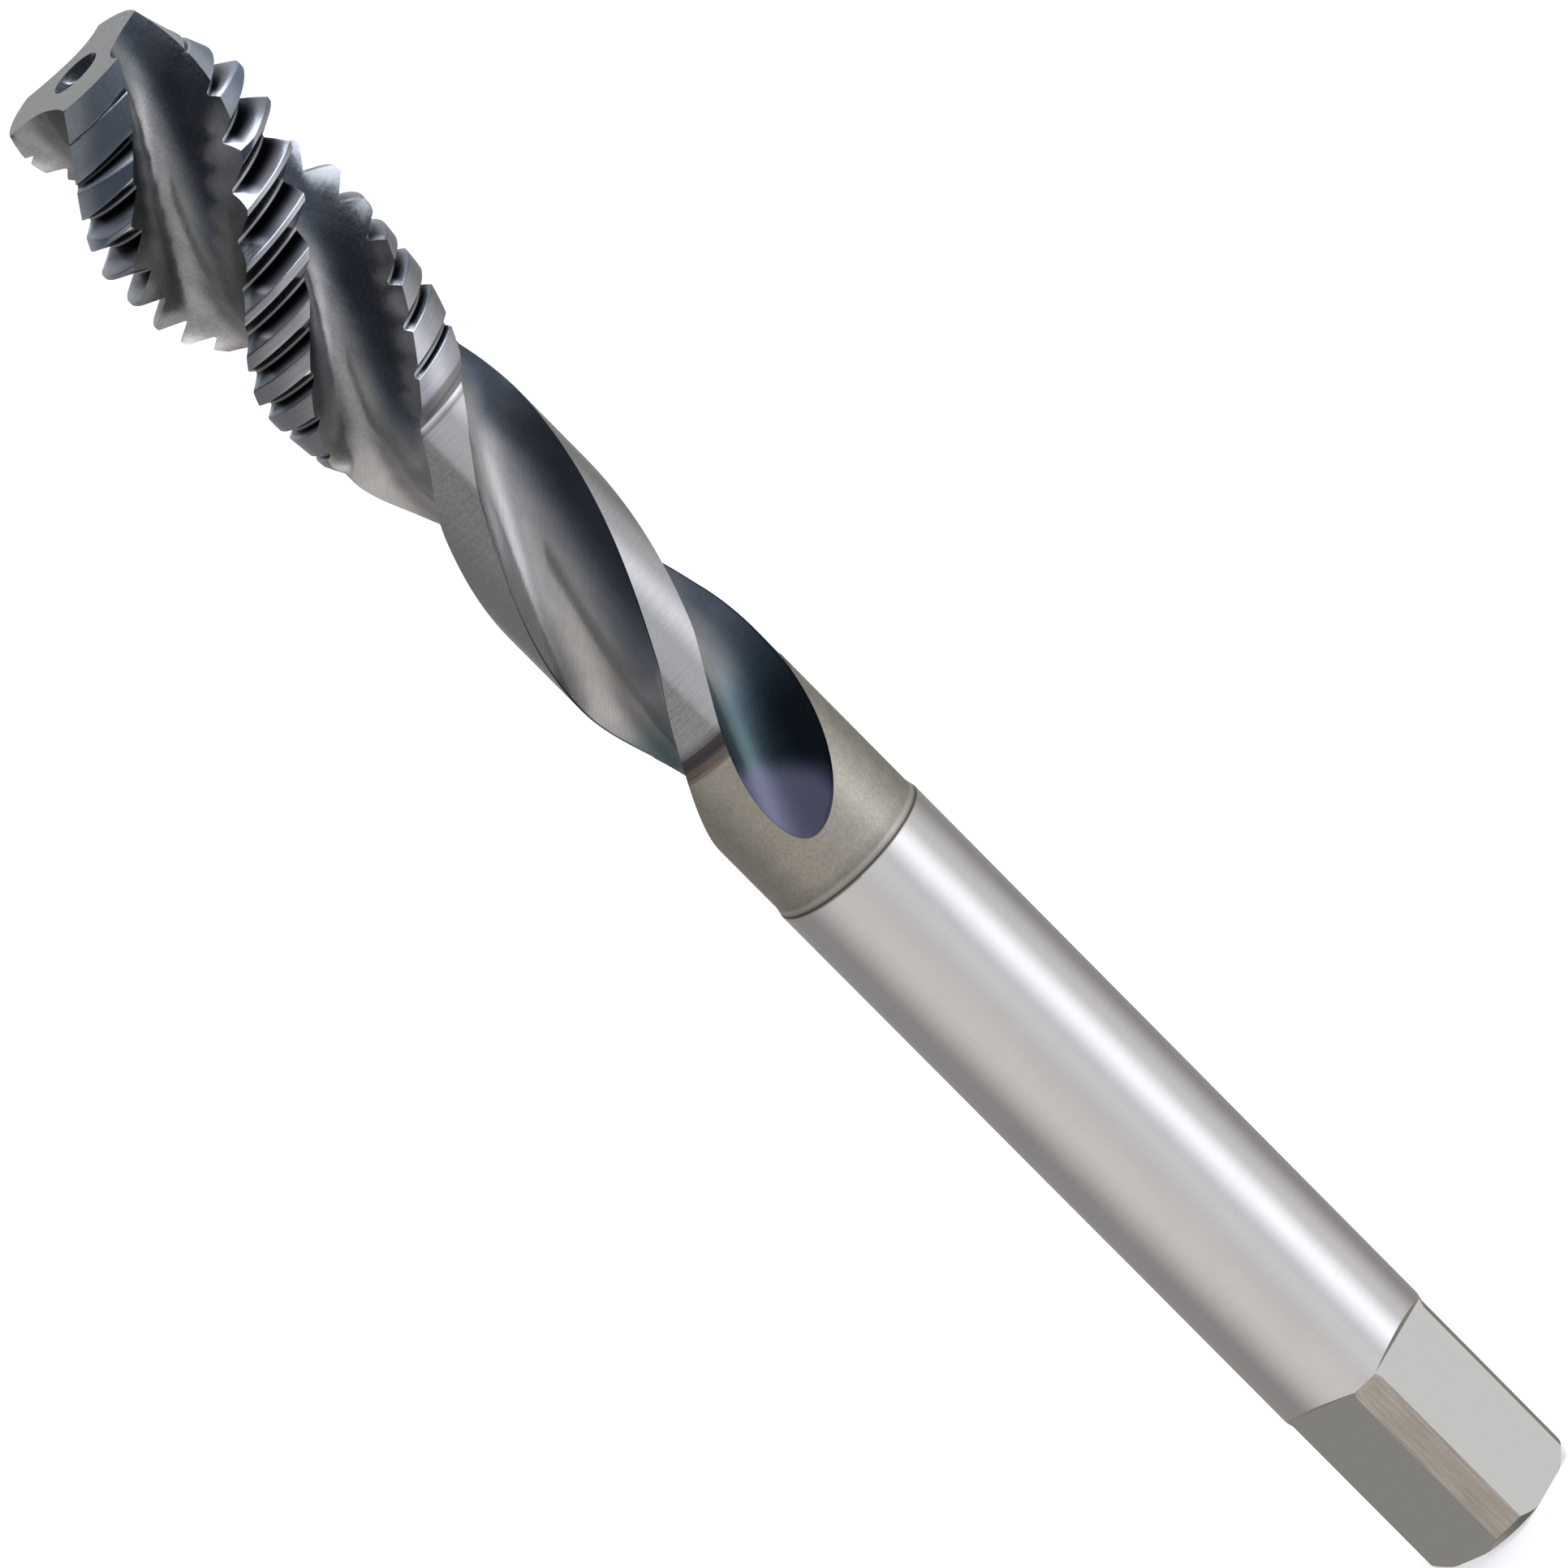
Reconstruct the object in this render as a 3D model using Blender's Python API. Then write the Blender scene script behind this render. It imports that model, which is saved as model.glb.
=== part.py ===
"""A three-flute spiral tap for an M8 x 1.25 thread, in metres.

It stands on the rear end of its driving square. The origin is the middle of that end, +Z runs to the
cutting tip, and the square's flats face +X, -X, +Y and -Y. A depth below is measured from the tip.
"""

import math

import bmesh
import bpy

MM = 0.001

# Whole tool
LENGTH = 70.0 * MM
SHANK_DIAMETER = 6.2 * MM

# Driving square, its corners ground just below the shank
SQUARE_SIDES = 4
SQUARE_ACROSS_FLATS = 5.0 * MM
SQUARE_LENGTH = 8.0 * MM
CORNER_GRIND = 0.07 * MM
CORNER_STEP_LENGTH = 0.3 * MM
SHOULDER_RISE = 0.4 * MM
REAR_CHAMFER = 0.38 * MM
REAR_CHAMFER_ANGLE = math.radians(45)

# Flutes: a short lead along the thread and a longer one along the neck
FLUTE_COUNT = 3
FLUTE_LENGTH = 35.4 * MM
THREAD_FLUTE_LEAD = 25.3 * MM
NECK_FLUTE_LEAD = 37.7 * MM
LEAD_CHANGE_DEPTH = 18.0 * MM
LEAD_CHANGE_LENGTH = 1.6 * MM
FIRST_FLUTE_ANGLE = math.radians(15.5)

# Run-out, where the wheel leaves the flute, which bends away and back on its last stretch
RUN_OUT_LENGTH = 5.5 * MM
BEND_LENGTH = 7.9 * MM
BEND_AWAY = math.radians(28)
BEND_BACK = math.radians(33)

# Flute section: a hooked cutting face, a round bottom and a long heel, opening out for the neck
WEB_DIAMETER = 3.6 * MM
HOOK_RADIUS = 1.6 * MM
HEEL_RADIUS = 5.3 * MM
FACE_ANGLE = math.radians(32)
NECK_WEB_DIAMETER = 3.1 * MM
NECK_HOOK_RADIUS = 1.9 * MM
NECK_HEEL_RADIUS = 11.0 * MM
HEEL_CHANGE_DEPTH = 12.0 * MM
HEEL_CHANGE_LENGTH = 4.0 * MM
HOOK_CHANGE_DEPTH = 15.6 * MM
HOOK_CHANGE_LENGTH = 1.8 * MM

# Neck: ground beside the flutes, left rough at their ends, with a small collar to the shank
NECK_STEP = 0.1 * MM
ROUGH_NECK_STEP = 0.075 * MM
ROUGH_NECK_LENGTH = 6.55 * MM
COLLAR_DEPTH = 37.45 * MM
COLLAR_LENGTH = 0.35 * MM

# Thread
THREAD_DIAMETER = 8.1 * MM
PITCH = 1.25 * MM
THREAD_ANGLE = math.radians(60)
CREST_FLAT = 0.16 * MM
ROOT_FLAT = 0.1 * MM
FIRST_GROOVE_DEPTH = 0.73 * MM
FULL_THREAD_DEPTH = 7.9 * MM
THREAD_END_DEPTH = 15.4 * MM
THREAD_END_HEIGHT = 0.13 * MM
THREAD_SHOULDER_LENGTH = 0.6 * MM

# Lead-in chamfer, backed off from each cutting edge to the heel, and centre hole at the tip
TIP_BELOW_ROOT = 0.2 * MM
TIP_ROOT_DROP = 0.15 * MM
CHAMFER_LENGTH = 3.4 * MM
HEEL_RELIEF_AT_TIP = 0.15 * MM
HEEL_RELIEF_SLOPE = 0.1
CENTRE_HOLE_DIAMETER = 1.86 * MM
CENTRE_HOLE_CONE_DEPTH = 0.85 * MM
CENTRE_DRILL_DIAMETER = 0.9 * MM
CENTRE_DRILL_DEPTH = 2.4 * MM

# Facets
TURNED_STEPS = 64
HOLE_STEPS = 24
THREAD_STEPS = 32
FLUTE_STEP = 0.6 * MM
HOOK_STEPS = 5
HEEL_STEPS = 7
RELIEF_STEPS = 5
SHARP_ANGLE = math.radians(28)
SAME_POINT = 0.0001 * MM

# How far a cutter reaches past what it cuts
CLEAR = 0.5 * MM
SPARE_TURNS = 1

FULL_TURN = 2 * math.pi


def clear_scene():
    for old in list(bpy.data.objects):
        bpy.data.objects.remove(old)


def steel(name, colour, roughness):
    """A bare metal finish."""
    material = bpy.data.materials.new(name)
    material.use_nodes = True
    shader = material.node_tree.nodes["Principled BSDF"]
    shader.inputs["Base Color"].default_value = (*colour, 1)
    shader.inputs["Metallic"].default_value = 1.0
    shader.inputs["Roughness"].default_value = roughness
    return material


def object_from(name, mesh_builder):
    bmesh.ops.recalc_face_normals(mesh_builder, faces=mesh_builder.faces)
    mesh = bpy.data.meshes.new(name)
    mesh_builder.to_mesh(mesh)
    mesh_builder.free()
    made = bpy.data.objects.new(name, mesh)
    bpy.context.collection.objects.link(made)
    return made


def turned(name, outline, steps):
    """A body of revolution from (radius, height) points that start and end on the axis."""
    builder = bmesh.new()
    points = [builder.verts.new((radius, 0, height)) for radius, height in outline]
    edges = [builder.edges.new(pair) for pair in zip(points, points[1:])]
    bmesh.ops.spin(
        builder,
        geom=points + edges,
        cent=(0, 0, 0),
        axis=(0, 0, 1),
        angle=FULL_TURN,
        steps=steps,
        use_merge=True,
    )
    bmesh.ops.remove_doubles(builder, verts=builder.verts, dist=1e-7)
    return object_from(name, builder)


def skinned(name, sections):
    """A closed skin over a row of like point loops, capped at both ends, all in triangles."""
    builder = bmesh.new()
    rings = [[builder.verts.new(point) for point in section] for section in sections]
    for ring, following in zip(rings, rings[1:]):
        for index in range(len(ring)):
            after = (index + 1) % len(ring)
            builder.faces.new((ring[index], ring[after], following[after], following[index]))
    builder.faces.new(rings[0])
    builder.faces.new(rings[-1])
    bmesh.ops.triangulate(builder, faces=builder.faces)
    return object_from(name, builder)


def at_angle(radius, angle, height):
    return (radius * math.cos(angle), radius * math.sin(angle), height)


def share_between(value, start, end):
    return min(max((value - start) / (end - start), 0), 1)


def thread_height():
    """From root to crest, as the pitch leaves room for between the two flats."""
    return (PITCH - CREST_FLAT - ROOT_FLAT) / 2 / math.tan(THREAD_ANGLE / 2)


def root_radius():
    return THREAD_DIAMETER / 2 - thread_height()


def neck_radius():
    return SHANK_DIAMETER / 2 - NECK_STEP


def rough_neck_radius():
    return SHANK_DIAMETER / 2 - ROUGH_NECK_STEP


def blank_outline():
    """The turned blank, from the rear end to the tip."""
    shank_radius = SHANK_DIAMETER / 2
    corner_radius = shank_radius - CORNER_GRIND
    chamfer_height = REAR_CHAMFER / math.tan(REAR_CHAMFER_ANGLE)
    shank_start = SQUARE_LENGTH - SHOULDER_RISE
    collar_height = LENGTH - COLLAR_DEPTH
    ground_start = collar_height + ROUGH_NECK_LENGTH
    thread_end = LENGTH - THREAD_END_DEPTH
    return [
        (0, 0),
        (corner_radius - REAR_CHAMFER, 0),
        (corner_radius, chamfer_height),
        (corner_radius, shank_start - CORNER_STEP_LENGTH),
        (shank_radius, shank_start),
        (shank_radius, collar_height),
        (rough_neck_radius(), collar_height + COLLAR_LENGTH),
        (rough_neck_radius(), ground_start),
        (neck_radius(), ground_start + COLLAR_LENGTH),
        (neck_radius(), thread_end - THREAD_SHOULDER_LENGTH),
        (root_radius() + THREAD_END_HEIGHT, thread_end),
        (THREAD_DIAMETER / 2, LENGTH - FULL_THREAD_DEPTH),
        (THREAD_DIAMETER / 2, LENGTH - CHAMFER_LENGTH),
        (tip_radius(), LENGTH),
        (0, LENGTH),
    ]


def tip_radius():
    return root_radius() - TIP_BELOW_ROOT


def chamfer_slope():
    """How much the chamfer's radius grows with depth."""
    return (THREAD_DIAMETER / 2 - tip_radius()) / CHAMFER_LENGTH


def thread_cutter():
    """The space between the thread's turns, as one helical bar with sloping sides, deeper at the tip."""
    half_root = ROOT_FLAT / 2
    top_radius = THREAD_DIAMETER / 2 + CREST_FLAT / 2
    threaded = THREAD_END_DEPTH + THREAD_SHOULDER_LENGTH - FIRST_GROOVE_DEPTH
    turns = threaded / PITCH + 2 * SPARE_TURNS
    sections = []
    for step in range(round(turns * THREAD_STEPS) + 1):
        turn = step / THREAD_STEPS - SPARE_TURNS
        angle = -FULL_TURN * turn
        height = LENGTH - FIRST_GROOVE_DEPTH - PITCH * turn
        root = root_radius() - TIP_ROOT_DROP * (1 - share_between(LENGTH - height, 0, CHAMFER_LENGTH))
        half_top = half_root + (top_radius - root) * math.tan(THREAD_ANGLE / 2)
        sections.append(
            [
                at_angle(root, angle, height - half_root),
                at_angle(root, angle, height + half_root),
                at_angle(top_radius, angle, height + half_top),
                at_angle(top_radius, angle, height - half_top),
            ]
        )
    return skinned("thread_cutter", sections)


def flute_turn(depth):
    """How far a flute has turned at a depth, with the lead changing evenly between its two values."""
    thread_rate = FULL_TURN / THREAD_FLUTE_LEAD
    neck_rate = FULL_TURN / NECK_FLUTE_LEAD
    change_end = LEAD_CHANGE_DEPTH + LEAD_CHANGE_LENGTH
    share = share_between(depth, LEAD_CHANGE_DEPTH, change_end)
    changed = LEAD_CHANGE_LENGTH * share * share / 2
    beyond = max(depth - change_end, 0)
    return thread_rate * depth + (neck_rate - thread_rate) * (changed + beyond)


def run_out(depth):
    """How far the grinding wheel has left the flute: 0 before the run-out, 1 where it ends."""
    return (max(depth - (FLUTE_LENGTH - RUN_OUT_LENGTH), 0) / RUN_OUT_LENGTH) ** 2


def run_out_bend(depth):
    """What the flute's last stretch turns besides its lead."""
    share = share_between(depth, FLUTE_LENGTH - BEND_LENGTH, FLUTE_LENGTH)
    return share * (BEND_BACK * share - BEND_AWAY)


def flute_section(depth):
    """The flute's outline across the axis, as (outward, sideways) points around its deepest line."""
    heel_share = share_between(depth, HEEL_CHANGE_DEPTH, HEEL_CHANGE_DEPTH + HEEL_CHANGE_LENGTH)
    hook_share = share_between(depth, HOOK_CHANGE_DEPTH, HOOK_CHANGE_DEPTH + HOOK_CHANGE_LENGTH)
    heel = HEEL_RADIUS + heel_share * (NECK_HEEL_RADIUS - HEEL_RADIUS)
    hook = HOOK_RADIUS + hook_share * (NECK_HOOK_RADIUS - HOOK_RADIUS)
    web = WEB_DIAMETER + hook_share * (NECK_WEB_DIAMETER - WEB_DIAMETER)
    bottom = web / 2 + run_out(depth) * (rough_neck_radius() - NECK_WEB_DIAMETER / 2)
    outside = THREAD_DIAMETER / 2 + CLEAR

    hook_turn = math.pi / 2 - FACE_ANGLE
    points = []
    for step in range(HOOK_STEPS, 0, -1):
        turn = hook_turn * step / HOOK_STEPS
        points.append((bottom + hook * (1 - math.cos(turn)), -hook * math.sin(turn)))
    face_outward, face_sideways = points[0]
    face_top = (outside, face_sideways - (outside - face_outward) * math.tan(FACE_ANGLE))

    heel_centre = bottom + heel
    heel_turn = math.acos((heel_centre**2 + heel**2 - outside**2) / (2 * heel_centre * heel))
    for step in range(HEEL_STEPS + 1):
        turn = heel_turn * step / HEEL_STEPS
        points.append((bottom + heel * (1 - math.cos(turn)), heel * math.sin(turn)))
    heel_top = (outside + CLEAR, points[-1][1])
    return [face_top] + points + [heel_top]


def flute_angle(number, depth):
    """Where a flute's deepest line is round the axis."""
    start = FIRST_FLUTE_ANGLE + FULL_TURN * number / FLUTE_COUNT
    return start - flute_turn(depth) + run_out_bend(depth)


def flute_cutter(number):
    """One flute's space, from in front of the tip to where it runs out on the neck."""
    cutter_length = FLUTE_LENGTH + 2 * CLEAR
    steps = round(cutter_length / FLUTE_STEP)
    sections = []
    for step in range(steps + 1):
        depth = cutter_length * step / steps - CLEAR
        angle = flute_angle(number, depth)
        section = []
        for outward, sideways in flute_section(depth):
            radius = math.hypot(outward, sideways)
            section.append(at_angle(radius, angle + math.atan2(sideways, outward), LENGTH - depth))
        sections.append(section)
    return skinned(f"flute_cutter_{number + 1}", sections)


def edge_angle(side, radius):
    """From a flute's deepest line to its edge at a radius: side -1 is the cutting edge, 1 the heel."""
    if side > 0:
        centre = WEB_DIAMETER / 2 + HEEL_RADIUS
        turn = math.acos((centre**2 + HEEL_RADIUS**2 - radius**2) / (2 * centre * HEEL_RADIUS))
        return math.atan2(HEEL_RADIUS * math.sin(turn), centre - HEEL_RADIUS * math.cos(turn))
    face_outward, face_sideways = flute_section(0)[1]
    return math.atan2(face_sideways, face_outward)


def relief_cutter(number):
    """What is backed off one land's chamfer, from nothing at its cutting edge to the most past its heel."""
    outside = THREAD_DIAMETER / 2 + CLEAR
    heel = edge_angle(1, root_radius())
    cutting_edge = FULL_TURN / FLUTE_COUNT + edge_angle(-1, root_radius())
    relieved_length = (THREAD_DIAMETER / 2 - tip_radius() + HEEL_RELIEF_AT_TIP) / (
        chamfer_slope() - HEEL_RELIEF_SLOPE
    )
    cutter_length = relieved_length + 2 * CLEAR
    steps = round(cutter_length / FLUTE_STEP)
    sections = []
    for step in range(steps + 1):
        depth = cutter_length * step / steps - CLEAR
        most = HEEL_RELIEF_AT_TIP + HEEL_RELIEF_SLOPE * max(depth, 0)
        inner = []
        outer = []
        for across in range(-1, RELIEF_STEPS + 2):
            share = across / RELIEF_STEPS
            angle = flute_angle(number, depth) + cutting_edge + (heel - cutting_edge) * share
            radius = tip_radius() + chamfer_slope() * depth - most * share
            inner.append(at_angle(radius, angle, LENGTH - depth))
            outer.append(at_angle(max(outside, radius + CLEAR), angle, LENGTH - depth))
        sections.append(inner + outer[::-1])
    return skinned(f"relief_cutter_{number + 1}", sections)


def square_cutter(number):
    """What one flat of the square takes off, with its sloping shoulder."""
    flat = SQUARE_ACROSS_FLATS / 2
    outside = SHANK_DIAMETER / 2 + CLEAR
    slope = SHOULDER_RISE / (SHANK_DIAMETER / 2 - flat)
    top = SQUARE_LENGTH - SHOULDER_RISE
    outline = [
        (flat, -CLEAR),
        (outside, -CLEAR),
        (outside, top + slope * (outside - flat)),
        (flat, top),
    ]
    turn = FULL_TURN * number / SQUARE_SIDES
    sections = []
    for side in (-outside, outside):
        section = []
        for outward, height in outline:
            x = outward * math.cos(turn) - side * math.sin(turn)
            y = outward * math.sin(turn) + side * math.cos(turn)
            section.append((x, y, height))
        sections.append(section)
    return skinned(f"square_cutter_{number + 1}", sections)


def centre_hole_cutter():
    hole = CENTRE_HOLE_DIAMETER / 2
    drill = CENTRE_DRILL_DIAMETER / 2
    outline = [
        (0, LENGTH + CLEAR),
        (hole, LENGTH + CLEAR),
        (hole, LENGTH),
        (drill, LENGTH - CENTRE_HOLE_CONE_DEPTH),
        (drill, LENGTH - CENTRE_DRILL_DEPTH + drill),
        (0, LENGTH - CENTRE_DRILL_DEPTH),
    ]
    return turned("centre_hole_cutter", outline, HOLE_STEPS)


def cut(target, cutter):
    cutter.display_type = "WIRE"
    cutter.hide_render = True
    modifier = target.modifiers.new(cutter.name, "BOOLEAN")
    modifier.operation = "DIFFERENCE"
    modifier.solver = "EXACT"
    modifier.object = cutter


def apply_modifiers(target):
    """Weld what the cuts left split at one point, and keep the result as the object's own mesh."""
    weld = target.modifiers.new("weld", "WELD")
    weld.merge_threshold = SAME_POINT
    bpy.context.view_layer.update()
    graph = bpy.context.evaluated_depsgraph_get()
    finished = bpy.data.meshes.new_from_object(target.evaluated_get(graph))
    target.modifiers.clear()
    target.data = finished


def tap_body():
    tap = turned("tap_body", blank_outline(), TURNED_STEPS)
    for number in range(FLUTE_COUNT):
        cut(tap, flute_cutter(number))
    for number in range(FLUTE_COUNT):
        cut(tap, relief_cutter(number))
    cut(tap, thread_cutter())
    for number in range(SQUARE_SIDES):
        cut(tap, square_cutter(number))
    cut(tap, centre_hole_cutter())
    apply_modifiers(tap)
    tap.data.shade_smooth()
    tap.data.set_sharp_from_angle(angle=SHARP_ANGLE)
    tap.data.materials.clear()
    tap.data.materials.append(steel("ground_steel", (0.42, 0.42, 0.43), 0.32))
    return tap


clear_scene()
tap_body()
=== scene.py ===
"""The looks of an M8 spiral flute tap: one body swept in Geometry Nodes from the rows of its outline.

Lengths are in millimetres, and become metres where the tree places its points. A depth is measured
from the cutting tip towards the driving square.
"""

import math
from types import SimpleNamespace

import bpy
from mathutils import Matrix, Vector


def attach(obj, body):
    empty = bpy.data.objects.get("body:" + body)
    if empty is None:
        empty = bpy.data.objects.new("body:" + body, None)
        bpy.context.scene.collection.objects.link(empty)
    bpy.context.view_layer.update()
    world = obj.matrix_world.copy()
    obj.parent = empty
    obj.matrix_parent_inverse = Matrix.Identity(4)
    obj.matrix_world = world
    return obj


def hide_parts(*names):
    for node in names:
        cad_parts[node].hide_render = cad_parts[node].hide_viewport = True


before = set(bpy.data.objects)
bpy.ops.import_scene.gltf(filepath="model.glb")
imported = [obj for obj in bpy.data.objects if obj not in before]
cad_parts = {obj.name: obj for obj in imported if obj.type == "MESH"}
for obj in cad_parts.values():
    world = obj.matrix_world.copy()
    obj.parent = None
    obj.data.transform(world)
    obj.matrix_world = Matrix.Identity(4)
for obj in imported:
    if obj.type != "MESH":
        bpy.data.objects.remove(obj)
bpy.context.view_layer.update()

MM = 0.001
MICRON = 0.001 * MM
FULL_TURN = 2 * math.pi

# The tap's sizes, by the name that each has in the node tree
SIZES = {
    "Length": 70.0,
    "Shank radius": 3.1,
    "Flutes": 3,
    "Flute length": 35.4,
    "Thread flute lead": 25.3,
    "Neck flute lead": 37.7,
    "Lead change depth": 18.0,
    "Lead change length": 1.6,
    "First flute angle": math.radians(15.5),
    "Run out length": 5.5,
    "Bend length": 7.9,
    "Bend away": math.radians(28),
    "Bend back": math.radians(33),
    "Web radius": 1.8,
    "Hook radius": 1.6,
    "Heel radius": 5.3,
    "Neck web radius": 1.55,
    "Neck hook radius": 1.9,
    "Neck heel radius": 11.0,
    "Heel change depth": 12.0,
    "Heel change length": 4.0,
    "Hook change depth": 15.6,
    "Hook change length": 1.8,
    "Face angle": math.radians(32),
    "Thread radius": 4.05,
    "Pitch": 1.25,
    "Crest flat": 0.16,
    "Crest rounding": 0.05,
    "Root flat": 0.1,
    "First crest depth": 0.73 + 0.625,
    "Full thread depth": 7.9,
    "Thread end depth": 15.4,
    "Thread end height": 0.13,
    "Thread shoulder length": 0.6,
    "Chamfer length": 3.4,
    "Tip below root": 0.2,
    "Tip root drop": 0.15,
    "Heel relief at tip": 0.15,
    "Heel relief slope": 0.1,
    "Neck radius": 3.0,
    "Across flats": 5.0,
    "Square length": 8.0,
    "Shoulder rise": 0.4,
    "Corner radius": 3.03,
}
THREAD_SLOPE = math.tan(math.radians(30))
HEEL_EDGE_HEIGHT = 0.35
LIMIT_CLEAR = 0.1
END_CLEAR = 0.001
ROUGH_NECK_RADIUS = 3.025
GROUND_NECK_END = 30.9
BAND_DEPTHS = (30.55, 31.0, 31.4)
COLLAR_DEPTH = 37.45
COLLAR_LENGTH = 0.35
COLLAR_EDGE = 0.06
SQUARE_SIDES = 4
CORNER_STEP_LENGTH = 0.3
REAR_CHAMFER = 0.38
HOLE_RADIUS = 0.93
HOLE_CONE_DEPTH = 0.85
DRILL_RADIUS = 0.45
DRILL_DEPTH = 2.4
DRILL_POINT_SLOPE = 0.6

# Columns of one flute and the land behind it, and of one corner of the square
COLUMNS = {
    "Face steps": 4,
    "Hook steps": 8,
    "Heel steps": 12,
    "Heel edge steps": 3,
    "Land steps": 20,
}
CORNER_STEPS = 4
HALF_STEP = 0.5
STEP_CLEAR = 1e-4

# Rows of each stretch of the outline
HOLE_CONE_ROWS = 3
TIP_ROWS = 5
NECK_ROWS = 48
RUN_OUT_ROWS = 34
ROUGH_NECK_ROWS = 4
SHANK_ROWS = 10
FLAT_ROWS = 4
END_ROWS = 4

# Turns of the thread made past each of its ends, then squeezed flat there
SPARE_TURNS = 3

# Rounds in which the thread's rows find their depth, and the smallest gap between two points, in metres
SETTLING_ROUNDS = 6
SAME_POINT = 1e-6
SHARP_ANGLE = math.radians(24)

# Surfaces, numbered for the rows of the outline
HOLE, TIP, THREAD, NECK, TINT, ROUGH, COLLAR, SHANK, SHOULDER, SQUARE, REAR = range(11)

# Each finish's part of the tap, and its surfaces there
FINISH_FACES = {
    "flute_steel": ("flutes", THREAD, NECK, TINT, ROUGH),
    "thread_steel": ("lands", THREAD),
    "neck_steel": ("lands", NECK),
    "tinted_band": ("lands", TINT),
    "shank_steel": ("all", SHANK),
    "flat_steel": ("flats", SQUARE),
    "corner_steel": ("corners", SQUARE),
    "shoulder_steel": ("all", SHOULDER),
    "rear_steel": ("all", REAR),
    "tip_face": ("all", TIP),
    "hole_steel": ("all", HOLE),
}


class Field:
    """A number worked out by Math nodes, written as a plain sum."""

    def __init__(self, tree, socket):
        self.tree = tree
        self.socket = socket

    def __add__(self, other):
        return maths("ADD", self, other)

    def __radd__(self, other):
        return maths("ADD", other, self)

    def __sub__(self, other):
        return maths("SUBTRACT", self, other)

    def __rsub__(self, other):
        return maths("SUBTRACT", other, self)

    def __mul__(self, other):
        return maths("MULTIPLY", self, other)

    def __rmul__(self, other):
        return maths("MULTIPLY", other, self)

    def __truediv__(self, other):
        return maths("DIVIDE", self, other)

    def __rtruediv__(self, other):
        return maths("DIVIDE", other, self)

    def __neg__(self):
        return maths("MULTIPLY", self, -1.0)


def maths(operation, *terms):
    tree = next(term.tree for term in terms if isinstance(term, Field))
    node = tree.nodes.new("ShaderNodeMath")
    node.operation = operation
    for socket, term in zip(node.inputs, terms):
        link(tree, term, socket)
    return Field(tree, node.outputs[0])


def link(tree, source, target):
    """Gives a socket a number, or links it to a field or another socket."""
    if isinstance(source, (int, float)):
        target.default_value = source
    else:
        tree.links.new(source.socket if isinstance(source, Field) else source, target)


def smaller(one, other):
    return maths("MINIMUM", one, other)


def larger(one, other):
    return maths("MAXIMUM", one, other)


def clamped(value):
    return smaller(larger(value, 0.0), 1.0)


def blend(start, end, share):
    return start + (end - start) * share


def eased(share):
    """A share from nought to one that starts and ends level."""
    return share * share * (3.0 - 2.0 * share)


def is_above(value, limit):
    return maths("GREATER_THAN", value, limit)


# The outline's rows, from the bottom of the centre hole to the middle of the rear end

# What each row says of its points: where it lies, how far it follows the thread's helix, its place on
# the thread's profile, the blank's radius, the share and radius of the centre hole, and how far it has
# moved onto the square, been cut by the flats, been sloped to the shoulder and been chamfered
ROW_VALUES = ("station", "helical", "reach", "shift", "blank", "core_share", "core_radius")
ROW_VALUES += ("squared", "flats", "rim", "chamfer")


def outline_row(depth, blank, surface, **more):
    row = dict.fromkeys(ROW_VALUES, 0.0)
    row.update(station=depth, blank=blank, surface=surface, **more)
    return row


def square_row(depth, blank, surface, **more):
    return outline_row(depth, blank, surface, squared=1.0, **more)


def spread(start, end, count):
    """Even steps from just after the start up to the end."""
    return [start + (end - start) * (step + 1) / count for step in range(count)]


def tip_rows():
    """From the bottom of the centre hole to the edge of the tip face."""
    hole = [(DRILL_DEPTH, 0.0), (DRILL_DEPTH - DRILL_RADIUS * DRILL_POINT_SLOPE, DRILL_RADIUS)]
    hole.append((HOLE_CONE_DEPTH, DRILL_RADIUS))
    for share in spread(0, 1, HOLE_CONE_ROWS):
        hole.append((HOLE_CONE_DEPTH * (1 - share), DRILL_RADIUS + (HOLE_RADIUS - DRILL_RADIUS) * share))
    rows = [outline_row(depth, 0.0, HOLE, core_share=1.0, core_radius=radius) for depth, radius in hole]
    rows[-1]["surface"] = TIP
    for share in spread(0, 1, TIP_ROWS)[:-1]:
        rows.append(outline_row(0.0, 0.0, TIP, core_share=1 - share, core_radius=HOLE_RADIUS))
    return rows


def thread_rows():
    """Each turn's rows: groove, root edge, flank, crest edge, crest, and the same again down the back.

    A reach is 3 in the middle of the groove, 2 at the root's edge and 1 at the crest's edge, and a shift
    is the distance of a row from that edge.
    """
    down = [(3.0, 0.0), (2.0, 0.0), (1.6, 0.0), (1.3, 0.0)]
    edge = [(1.0, 0.03), (1.0, 0.01), (1.0, -0.01), (1.0, -0.03)]
    side = down + edge + [(0.4, 0.0)]
    profile = [(-reach, -shift) for reach, shift in side] + side[:0:-1]
    turns = math.ceil(SIZES["Thread end depth"] / SIZES["Pitch"]) + 1
    rows = []
    for turn in range(-SPARE_TURNS, turns + SPARE_TURNS):
        crest = SIZES["First crest depth"] + turn * SIZES["Pitch"]
        for reach, shift in profile:
            rows.append(outline_row(crest, 0.0, THREAD, helical=1.0, reach=reach, shift=shift))
    return rows


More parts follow.
